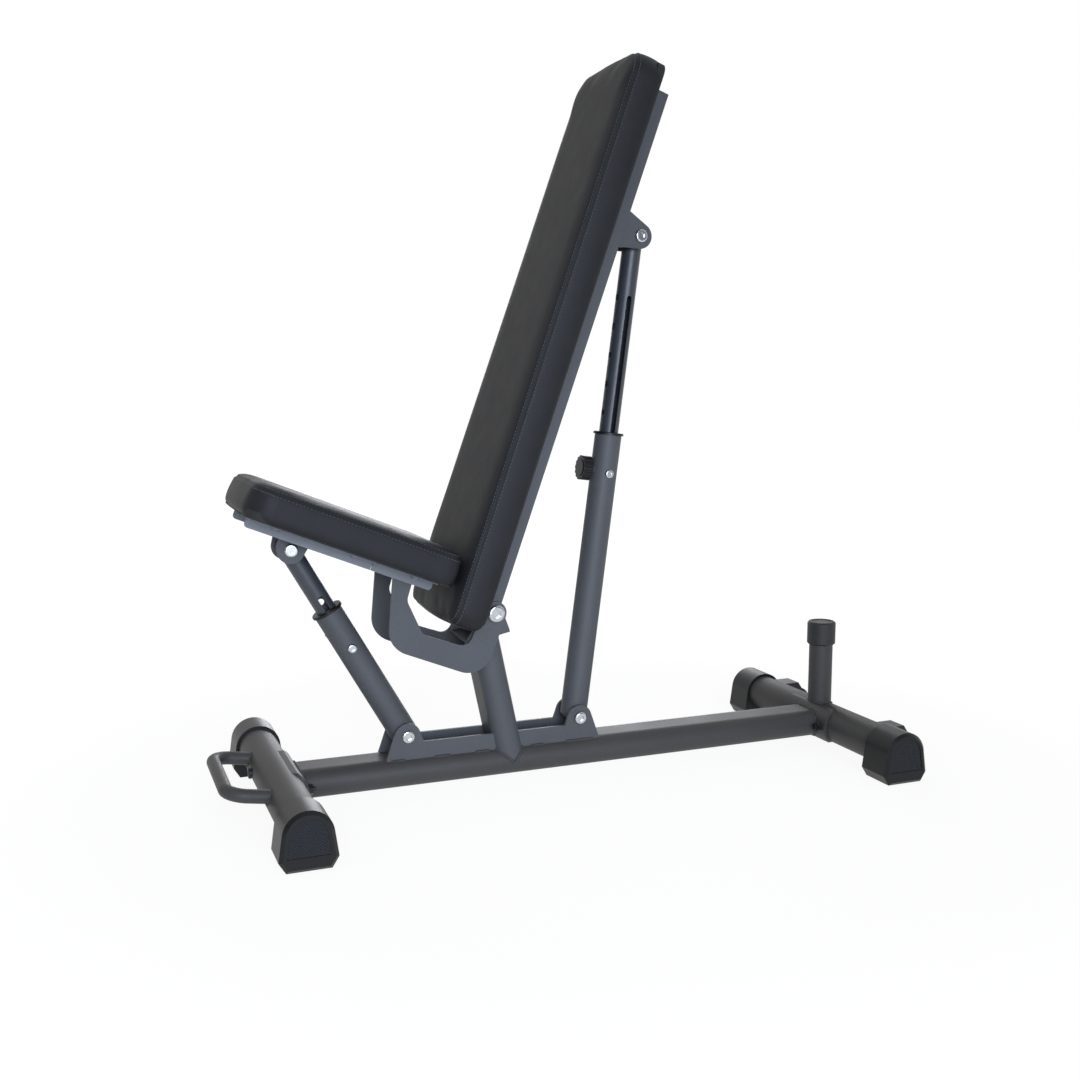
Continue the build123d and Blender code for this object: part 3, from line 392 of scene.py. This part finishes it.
# Pebbled grain is about 1 mm across on the real cover; it is drawn at 2.4 mm so that it shows.
pebble = add_node(tree, "ShaderNodeTexVoronoi", {"Vector": coords, "Scale": 420.0}, feature="SMOOTH_F1")
crease = noise(tree, coords, 26.0, detail=5.0, roughness=0.55)
pebbles = bump(tree, pebble.outputs["Distance"], 0.34, 0.0009)
feed(tree, pebbles, {"Normal": bump(tree, crease, 0.18, 0.004).outputs["Normal"]})
feed(tree, shader, {"Base Color": blend(tree, crease, "#1c1d1f", "#27282a"),
                    "Roughness": remap(tree, crease, 0.48, 0.62), "Normal": pebbles.outputs["Normal"],
                    "IOR": 1.5, "Specular IOR Level": 0.18})

# Black polyester thread; its mid-grey base colour, paler than the thread's own black, is painted highlight on
# the stitches.
thread_painted_highlight, tree, shader, coords = new_finish("polyester_thread_painted_highlight")
feed(tree, shader, {"Base Color": blend(tree, noise(tree, coords, 1500.0), "#303236", "#4e5259"),
                    "Roughness": 0.65})

pivot = np.array(next(j for j in frame["joints"] if j["name"] == "back_tilt")["pos_m"])
pad_height = 0.066
pad_swell = 0.004
front_corner, rear_corner = 0.044, 0.028
corner_share = 0.6
end_bow, end_zone = 0.007, 0.09
waist_draw = 0.002
roll_height, roll_inset, roll_depth = 0.052, 0.0026, 0.0145
roll_steps = 9
cloth_ease = 0.001
outline_points = 320
net_size = 0.006
staple_height = 0.004
foam_pressure = 4.0
foam_frames = 20
side_swell = 0.35
seam_height, seam_depth, seam_half_width = 0.054, 0.0016, 0.0026
rail_clear = 0.006


def pad_outline(length, rear_width, front_width, inset, count):
    """Pad outline at one height: a rectangle at arc length s with its front corners rounded to 44 mm and its
    rear corners to 28 mm, whose ends are bowed out by 7 mm (1 - (y / w)^2), and whose width runs straight from
    rear to front and draws in by 2 mm mid-way."""
    a = length / 2 - end_bow - inset
    w = np.array([rear_width, front_width]) / 2 - inset
    b = w.mean()
    f, g = front_corner - corner_share * inset, rear_corner - corner_share * inset
    q = math.pi / 2
    runs = np.array([2 * (b - f), q * f, 2 * a - f - g, q * g, 2 * (b - g), q * g, 2 * a - f - g, q * f])
    s = np.linspace(0, runs.sum(), count, endpoint=False)
    edge = np.concatenate([[0], np.cumsum(runs)])
    k = np.searchsorted(edge, s, side="right") - 1
    t = s - edge[k]
    r = np.array([f, f, f, g, g, g, g, f])[k]
    turn = (k // 2) * q
    bend = np.where(k % 2 == 1, t / r, 0)
    slide = np.where(k % 2 == 0, t, 0)
    x_sign = np.array([1, 1, 1, -1, -1, -1, -1, 1])[k]
    y_sign = np.array([-1, 1, 1, 1, 1, -1, -1, -1])[k]
    x = x_sign * (a - r) + r * np.cos(turn + bend) - slide * np.sin(turn)
    y = y_sign * (b - r) + r * np.sin(turn + bend) + slide * np.cos(turn)
    end = np.clip((np.abs(x) - (a - end_zone)) / end_zone, 0, 1)
    bowed = x + np.sign(x) * end_bow * (1 - (y / b) ** 2) * end ** 2
    half = w[0] + (w[1] - w[0]) * (x / a * 0.5 + 0.5) - waist_draw * (1 - (x / a) ** 2)
    return bowed, y * half / b


def pad_form(length, rear_width, front_width):
    """Closed foam block: outlines stacked over (height, inset) stations, from the board's edge up the boxed
    side, round the top edge on a quarter ellipse, to the flat middle of the face."""
    roll = np.linspace(0, math.pi / 2, roll_steps)[1:]
    stations = [(0.0, 0.006), (0.002, 0.0036), (0.006, 0.0022), (0.014, 0.0007), (0.025, 0.0),
                (0.036, 0.0004), (0.046, 0.0016), (roll_height, roll_inset)]
    roll_rise = pad_height - pad_swell - roll_height
    heights = [h for h, i in stations] + list(roll_height + roll_rise * np.sin(roll))
    insets = [i for h, i in stations] + list(roll_inset + roll_depth * (1 - np.cos(roll)))
    rings = []
    for h, inset in zip(heights, insets):
        x, y = pad_outline(length, rear_width, front_width, inset - cloth_ease, outline_points)
        rings.append(np.stack([x, y, np.full(outline_points, h)], 1))
    points = np.vstack(rings)
    faces = grid_faces(len(rings), outline_points).tolist()
    faces.append(list(range(outline_points - 1, -1, -1)))
    faces.append(list(range(len(points) - outline_points, len(points))))
    return points, faces


def read_vectors(mesh, field):
    """Array of one vector per vertex of a mesh."""
    values = np.empty(len(mesh.vertices) * 3)
    mesh.vertices.foreach_get(field, values)
    return values.reshape(-1, 3)


def evaluated(piece):
    """New mesh of an object with its modifiers applied."""
    return bpy.data.meshes.new_from_object(piece.evaluated_get(bpy.context.evaluated_depsgraph_get()))


def upholster(name, length, rear_width, front_width, place, rail):
    """Foam block remeshed to an even net, blown up as cloth by at most the pad's swell, smoothed and
    subdivided, then pressed in along the seam and moved to its place by the pad's origin and axes."""
    points, faces = pad_form(length, rear_width, front_width)
    form = mesh_piece(name + "_form", points, faces, vinyl)
    remesh = form.modifiers.new("net", "REMESH")
    remesh.mode = "VOXEL"
    remesh.voxel_size = net_size
    net = evaluated(form)
    form.modifiers.remove(remesh)
    form.data = net
    start = read_vectors(net, "co")
    moved = start.copy()
    held = form.vertex_groups.new(name="stapled")
    held.add(np.nonzero(start[:, 2] < staple_height)[0].tolist(), 1.0, "REPLACE")
    cloth = form.modifiers.new("foam", "CLOTH")
    cloth.settings.use_pressure = True
    cloth.settings.uniform_pressure_force = foam_pressure
    cloth.settings.vertex_group_mass = "stapled"
    cloth.settings.effector_weights.gravity = 0.0
    cloth.settings.quality = 4
    cloth.collision_settings.use_collision = False
    for step in range(1, foam_frames + 1):
        bpy.context.scene.frame_set(step)
    moved = read_vectors(evaluated(form), "co")
    form.modifiers.remove(cloth)
    bpy.context.scene.frame_set(1)
    shift = moved - start
    far = np.linalg.norm(shift, axis=1, keepdims=True)
    shift *= np.minimum(1, pad_swell / np.maximum(far, 1e-9)) * (side_swell, side_swell, 1.0)
    form.data.vertices.foreach_set("co", (start + shift).reshape(-1))
    ease = form.modifiers.new("ease", "SMOOTH")
    ease.factor = 0.5
    ease.iterations = 6
    fine = form.modifiers.new("fine", "SUBSURF")
    fine.levels = fine.render_levels = 1
    cover = evaluated(form)
    bpy.data.objects.remove(form)
    spots = read_vectors(cover, "co")
    # Seam: a groove 1.6 mm deep and about 5 mm wide at the seam height, on the boxed side only.
    outward = read_vectors(cover, "normal")
    outward[:, 2] = 0
    spots -= outward * seam_depth * np.exp(-((spots[:, 2:] - seam_height) / seam_half_width) ** 2)
    spots[:, 2] = np.clip(spots[:, 2], 0, pad_height)
    surface = BVHTree.FromPolygons(spots.tolist(), [p.vertices[:] for p in cover.polygons])
    origin, ahead, up = place
    axes = np.stack([ahead, np.cross(up, ahead), up])
    cover.vertices.foreach_set("co", (spots @ axes + origin).reshape(-1))
    cover.polygons.foreach_set("use_smooth", np.ones(len(cover.polygons), bool))
    cover.update()
    cushion = bpy.data.objects.new(name, cover)
    bpy.context.scene.collection.objects.link(cushion)
    cover.materials.clear()
    cover.materials.append(vinyl)
    points, faces = stitch_rows(length, rear_width, front_width, surface)
    sewn = mesh_piece(name + "_stitches", points @ axes + origin, faces, thread_painted_highlight)
    clear = np.abs(np.array(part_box(rail))[:, 1]).min() - rail_clear
    points, faces = turned_edge(length, rear_width, front_width, clear)
    hem = mesh_piece(name + "_turned_edge", points @ axes + origin, faces, vinyl)
    points, faces = staple_row(length, rear_width, front_width, clear)
    staples = mesh_piece(name + "_staples", points @ axes + origin, faces, zinc, smooth=False)
    return cushion, sewn, hem, staples


hem_points = 900
hem_inner, hem_outer = 0.0235, 0.0085
hem_flat = 0.0002
pleat_height, pleat_pitch = 0.00035, 0.026
staple_pitch, staple_inset, staple_level = 0.024, 0.016, -0.0009
wire_sides = 6
stitch_pitch, stitch_half_length, stitch_r = 0.0062, 0.0024, 0.0007
stitch_below, stitch_above = 0.0045, 0.0042
stitch_lift = 0.0001
stitch_stations = 5
stitch_start = 0.02
corner_saving = 0.08


def turned_edge(length, rear_width, front_width, clear):
    """Cover pulled under the board: a flat band 15 mm wide round the underside. Its section runs from the
    board's edge inwards and back, with pleats of 0.35 mm every 26 mm, and it lies flat where |y| passes clear,
    because the rail presses on it there."""
    inner, outer = (pad_outline(length, rear_width, front_width, inset, hem_points)
                    for inset in (hem_inner, hem_outer))
    s = np.arange(hem_points) / hem_points * (2 * length + rear_width + front_width)
    pleat = pleat_height * np.abs(np.sin(math.pi * s / pleat_pitch)) ** 6
    levels = [(outer, hem_flat), (outer, -0.0003), (inner, -0.0004 - pleat), (inner, hem_flat)]
    rings = [np.stack([x, y, np.where(np.abs(y) < clear, h, hem_flat)], 1) for (x, y), h in levels]
    return np.vstack(rings), grid_faces(len(levels), hem_points, True)[:, ::-1].tolist()


def along_path(path):
    """Unit direction at each point of a closed path, from its two neighbours."""
    step = np.roll(path, -1, 0) - np.roll(path, 1, 0)
    return step / np.linalg.norm(step, axis=1, keepdims=True)


def bars(body):
    """Points and quads of many bars, from an array of (station, corner, bar, xyz)."""
    stations, sides, count = body.shape[:3]
    first = stations * sides * np.arange(count)[:, None, None]
    faces = (grid_faces(stations, sides)[None] + first).reshape(-1, 4)
    return body.transpose(2, 0, 1, 3).reshape(-1, 3), faces


def staple_row(length, rear_width, front_width, clear):
    """Wire staples 10 mm wide every 24 mm along the turned edge between the rails, each a six-sided bar."""
    count = int((2 * length + rear_width + front_width) / staple_pitch)
    x, y = pad_outline(length, rear_width, front_width, staple_inset, count)
    spot = np.stack([x, y, np.full(count, staple_level)], 1)
    spot, step = (v[np.abs(y) < clear] for v in (spot, along_path(spot)))
    side = np.cross(step, (0, 0, 1.0))
    a = np.linspace(0, 2 * math.pi, wire_sides, endpoint=False)
    along = np.array([-0.005, -0.0047, 0.0047, 0.005])
    girth = np.array([0.0001, 0.0005, 0.0005, 0.0001])
    section = np.cos(a)[:, None, None] * side + 0.8 * np.sin(a)[:, None, None] * np.array([0, 0, 1.0])
    body = spot + along[:, None, None, None] * step + girth[:, None, None, None] * section
    return join([bars(body)])


def stitch_rows(length, rear_width, front_width, surface):
    """Two rows of stitches 5 mm long, just over 4 mm above and below the seam, each a tapered six-sided roll
    laid on the cover where a ray from outside meets it."""
    rows = []
    for height in (seam_height - stitch_below, seam_height + stitch_above):
        round_length = 2 * (length + (rear_width + front_width) / 2) - corner_saving
        count = int(round_length / stitch_pitch)
        x, y = pad_outline(length, rear_width, front_width, -stitch_start, count)
        path = np.stack([x, y, np.full(count, height)], 1)
        step = along_path(path)
        aim = np.cross(step, (0, 0, -1.0))
        hits = [surface.ray_cast(Vector(p), Vector(q)) for p, q in zip(path, aim)]
        spot = np.array([h[0] if h[0] is not None else p for h, p in zip(hits, path)])
        face = np.array([h[1] if h[1] is not None else -q for h, q in zip(hits, aim)])
        across = np.cross(face, step)
        along = np.linspace(-1, 1, stitch_stations)
        girth = stitch_r * np.sqrt(np.clip(1.04 - along ** 2, 0, 1))
        a = np.linspace(0, 2 * math.pi, wire_sides, endpoint=False)
        roll = np.cos(a)[:, None, None] * face + np.sin(a)[:, None, None] * across
        body = (spot + stitch_half_length * along[:, None, None, None] * step
                + girth[:, None, None, None] * roll + stitch_lift * face)
        rows.append(bars(body))
    return join(rows)


seat_tilt = math.radians(22.0)
seat_length, seat_width = 0.408, 0.300
seat_gap, seat_rise = 0.112, 0.020
seat_ahead = np.array([-math.cos(seat_tilt), 0, math.sin(seat_tilt)])
seat_up = np.array([math.sin(seat_tilt), 0, math.cos(seat_tilt)])
seat_middle = pivot + seat_ahead * (seat_gap + seat_length / 2) + seat_up * seat_rise
seat_cushion, *seat_trim = upholster("seat_cushion", seat_length, seat_width, seat_width,
                                     (seat_middle, seat_ahead, seat_up), "seat_rear_rail_left")

# The back cushion is 5 mm longer at its lower end than its solid.
back_tilt = math.radians(70.3)
back_length, back_low_width, back_high_width = 1.109, 0.302, 0.282
back_along, back_rise = 0.5095, 0.042
back_ahead = np.array([math.cos(back_tilt), 0, math.sin(back_tilt)])
back_up = np.array([-math.sin(back_tilt), 0, math.cos(back_tilt)])
back_middle = pivot + back_ahead * back_along + back_up * back_rise
back_cushion, *back_trim = upholster("back_cushion", back_length, back_low_width, back_high_width,
                                     (back_middle, back_ahead, back_up), "back_rail_left")

for cushion, trim, node, body in ((seat_cushion, seat_trim, "seat_pad", "seat"),
                                  (back_cushion, back_trim, "back_pad", "back")):
    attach(cushion, body)
    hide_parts(node)
    for piece in trim:
        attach(piece, body)

# Floor, light and camera: a white sweep under a broad overhead light, a cooler side light, a rear light
# and a weak front fill, with the camera where the photograph was taken.
floor_half = 8.0
floor_finish, tree, shader, coords = new_finish("white_studio_floor")
feed(tree, shader, {"Base Color": linear("#f4f4f4"), "Roughness": 0.9})
glow = add_node(tree, "ShaderNodeEmission", {"Color": (1, 1, 1, 1), "Strength": 1.06})


def direct_view(tree):
    """Socket that is 1 for camera, glossy and transmission rays, so that metal shows the backdrop too."""
    rays = add_node(tree, "ShaderNodeLightPath").outputs
    shiny = add_node(tree, "ShaderNodeMath", {0: rays["Is Camera Ray"], 1: rays["Is Glossy Ray"]},
                     operation="MAXIMUM")
    return add_node(tree, "ShaderNodeMath", {0: shiny.outputs[0], 1: rays["Is Transmission Ray"]},
                    operation="MAXIMUM").outputs[0]


# The floor keeps a soft shadow near the bench and runs out to plain white 1.9 m from its middle.
away = add_node(tree, "ShaderNodeVectorMath", {0: coords}, operation="LENGTH").outputs["Value"]
share = remap(tree, away, 0.86, 1.0, start=0.7, stop=1.9, ease="SMOOTHSTEP")
part = add_node(tree, "ShaderNodeMath", {0: direct_view(tree), 1: share}, operation="MULTIPLY")
sweep = add_node(tree, "ShaderNodeMixShader", {"Fac": part.outputs[0], 1: shader.outputs["BSDF"],
                                               2: glow.outputs["Emission"]})
feed(tree, tree.nodes["Material Output"], {"Surface": sweep.outputs["Shader"]})
floor_corners = np.array([(-1, -1, 0), (1, -1, 0), (1, 1, 0), (-1, 1, 0)]) * floor_half
floor = mesh_piece("studio_floor", floor_corners, [(0, 1, 2, 3)], floor_finish)

world = bpy.data.worlds.new("studio")
bpy.context.scene.world = world
world.use_nodes = True
tree = world.node_tree
tree.nodes.clear()
soft_sky = add_node(tree, "ShaderNodeBackground", {"Color": (1, 1, 1, 1), "Strength": 0.28})
# The sweep stands behind the bench (+Y) and overhead; towards the dim end of the studio (-Y)
# reflections fall off.
ray = add_node(tree, "ShaderNodeTexCoord").outputs["Generated"]
facing = add_node(tree, "ShaderNodeVectorMath", {0: ray, 1: (0.6, 1.0, 0.2)}, operation="DOT_PRODUCT")
sweep_light = remap(tree, facing.outputs["Value"], 0.22, 1.0, start=-0.75, stop=1.0, ease="SMOOTHSTEP")
straight = add_node(tree, "ShaderNodeLightPath").outputs["Is Camera Ray"]
white_level = add_node(tree, "ShaderNodeMath", {0: sweep_light, 1: straight}, operation="MAXIMUM")
white_sky = add_node(tree, "ShaderNodeBackground", {"Color": (1, 1, 1, 1),
                                                    "Strength": white_level.outputs[0]})
pick = add_node(tree, "ShaderNodeMixShader", {"Fac": direct_view(tree), 1: soft_sky.outputs[0],
                                              2: white_sky.outputs[0]})
add_node(tree, "ShaderNodeOutputWorld", {"Surface": pick.outputs[0]})


def lamp(name, spot, target, size, watts, colour, spread):
    """Square soft box at spot, turned to face target, whose grid keeps its light within spread degrees."""
    light = bpy.data.lights.new(name, "AREA")
    light.size = size
    light.energy = watts
    light.spread = math.radians(spread)
    light.color = linear(colour)[:3]
    holder = bpy.data.objects.new(name, light)
    holder.location = spot
    holder.rotation_euler = (Vector(target) - Vector(spot)).to_track_quat("-Z", "Y").to_euler()
    bpy.context.scene.collection.objects.link(holder)


lamp("overhead_box", (-0.6, 0.2, 3.2), (-0.1, 0, 0.5), 2.2, 3, "#fff8f0", 180)
lamp("side_box", (-0.7, -3.3, 1.2), (-0.25, 0, 0.5), 2.0, 20.0, "#dfeaff", 60)
lamp("rear_box", (1.3, 3.3, 1.0), (0, 0, 0.5), 2.0, 7.0, "#f6f8ff", 60)
lamp("front_box", (-2.6, 0.2, 2.7), (0.05, 0, 0.9), 2.0, 0.7, "#fff4ea", 50)

camera_data = bpy.data.cameras.new("photo_camera")
camera_data.lens = 41.2
camera_data.sensor_width = 36.0
camera = bpy.data.objects.new("photo_camera", camera_data)
camera.location = (front_x - 0.353, -2.226, 0.800)
camera.rotation_euler = (math.radians(90 - 7.60), math.radians(0.11), math.radians(-21.45))
bpy.context.scene.collection.objects.link(camera)
bpy.context.scene.camera = camera
bpy.context.scene.view_settings.view_transform = "Standard"
